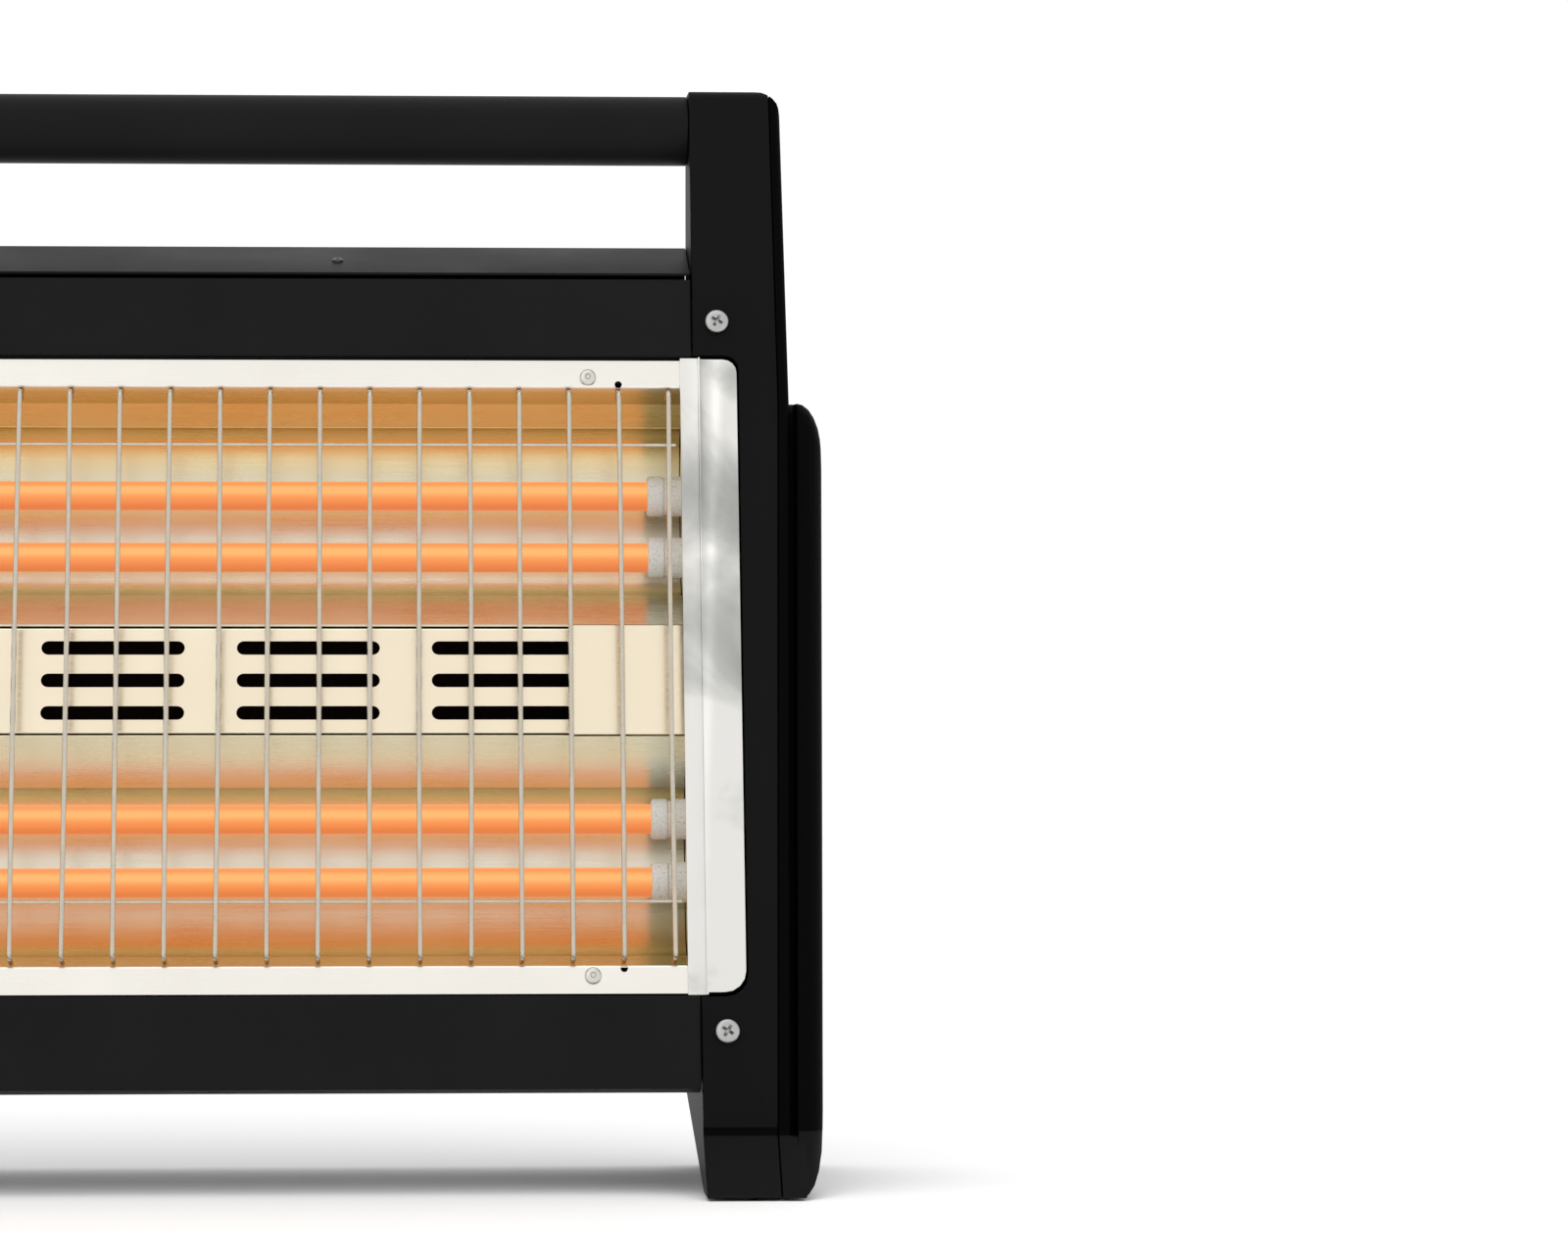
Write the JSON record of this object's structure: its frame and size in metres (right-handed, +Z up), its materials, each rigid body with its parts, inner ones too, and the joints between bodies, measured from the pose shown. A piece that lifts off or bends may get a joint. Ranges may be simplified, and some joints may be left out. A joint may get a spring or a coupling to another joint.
{
  "type": "quartz tube heater",
  "caption": "Free-standing radiant heater: glowing quartz tubes in a leaning reflector behind a wire guard, between black side panels joined by a carry tube",
  "frame": {"origin": "On the floor, under the middle of the heater's overall box", "axes": "+X along the tubes to the viewer's right, +Y to the back, +Z up; the tubes face -Y and slightly up"},
  "size_m": [0.652, 0.14, 0.397],
  "materials": {
    "black_moulding": "black moulded polypropylene, fine satin texture",
    "black_steel": "black heat-resistant powder coat on sheet steel",
    "aluminium_sheet": "bright rolled aluminium reflector sheet",
    "zinc_steel": "zinc plated steel",
    "quartz": "milky quartz tube, lit from inside",
    "resistance_wire": "glowing resistance wire coil",
    "ceramic": "unglazed white steatite",
    "rubber": "black rubber",
    "switch_plastic": "dark moulded switch plastic",
    "lamp_lens": "amber indicator lens"
  },
  "bodies": {
    "heater": {"bottom_rail": "black_steel", "bus_bar": "zinc_steel", "cable_gland": "rubber", "ceramic_cap_1_left": "ceramic", "ceramic_cap_1_right": "ceramic", "ceramic_cap_2_left": "ceramic", "ceramic_cap_2_right": "ceramic", "ceramic_cap_3_left": "ceramic", "ceramic_cap_3_right": "ceramic", "ceramic_cap_4_left": "ceramic", "ceramic_cap_4_right": "ceramic", "end_bracket_left": "aluminium_sheet", "end_bracket_right": "aluminium_sheet", "handle_plug_left": "switch_plastic", "handle_plug_right": "switch_plastic", "handle_screw_left": "zinc_steel", "handle_screw_right": "zinc_steel", "handle_tube": "black_steel", "heat_shield": "zinc_steel", "heating_coil_1": "resistance_wire", "heating_coil_2": "resistance_wire", "heating_coil_3": "resistance_wire", "heating_coil_4": "resistance_wire", "panel_screw_lower_left": "zinc_steel", "panel_screw_lower_right": "zinc_steel", "panel_screw_upper_left": "zinc_steel", "panel_screw_upper_right": "zinc_steel", "pilot_lamp": "lamp_lens", "quartz_tube_1": "quartz", "quartz_tube_2": "quartz", "quartz_tube_3": "quartz", "quartz_tube_4": "quartz", "rear_cover": "black_steel", "reflector_cheek_left": "aluminium_sheet", "reflector_cheek_right": "aluminium_sheet", "reflector_lower": "aluminium_sheet", "reflector_upper": "aluminium_sheet", "rubber_foot_front_left": "rubber", "rubber_foot_front_right": "rubber", "rubber_foot_rear_left": "rubber", "rubber_foot_rear_right": "rubber", "selector_switch_body": "switch_plastic", "side_cover_left": "black_moulding", "side_cover_right": "black_moulding", "side_panel_left": "black_moulding", "side_panel_right": "black_moulding", "strip_rivet_lower_left": "aluminium_sheet", "strip_rivet_lower_right": "aluminium_sheet", "strip_rivet_upper_left": "aluminium_sheet", "strip_rivet_upper_right": "aluminium_sheet", "terminal_block": "switch_plastic", "thermal_cutout": "switch_plastic", "tip_switch_body": "switch_plastic", "top_rail": "black_steel", "vent_strip": "aluminium_sheet", "wire_guard": "zinc_steel", "wiring_loom": "rubber"},
    "selector": {"selector_knob": "switch_plastic", "selector_shaft": "zinc_steel"},
    "plunger": {"tip_switch_plunger": "switch_plastic"}
  },
  "joints": [
    {"name": "selector_turn", "type": "hinge", "parent": "heater", "child": "selector", "pos_m": [-0.3151, 0.03287, 0.19], "axis": [1, 0, 0], "range_deg": [0, 180]},
    {"name": "plunger_drop", "type": "slide", "parent": "heater", "child": "plunger", "axis": [0, 0, -1], "range_m": [0, 0.005], "stiffness_N_per_m": 80, "springref_m": 0.012}
  ]
}
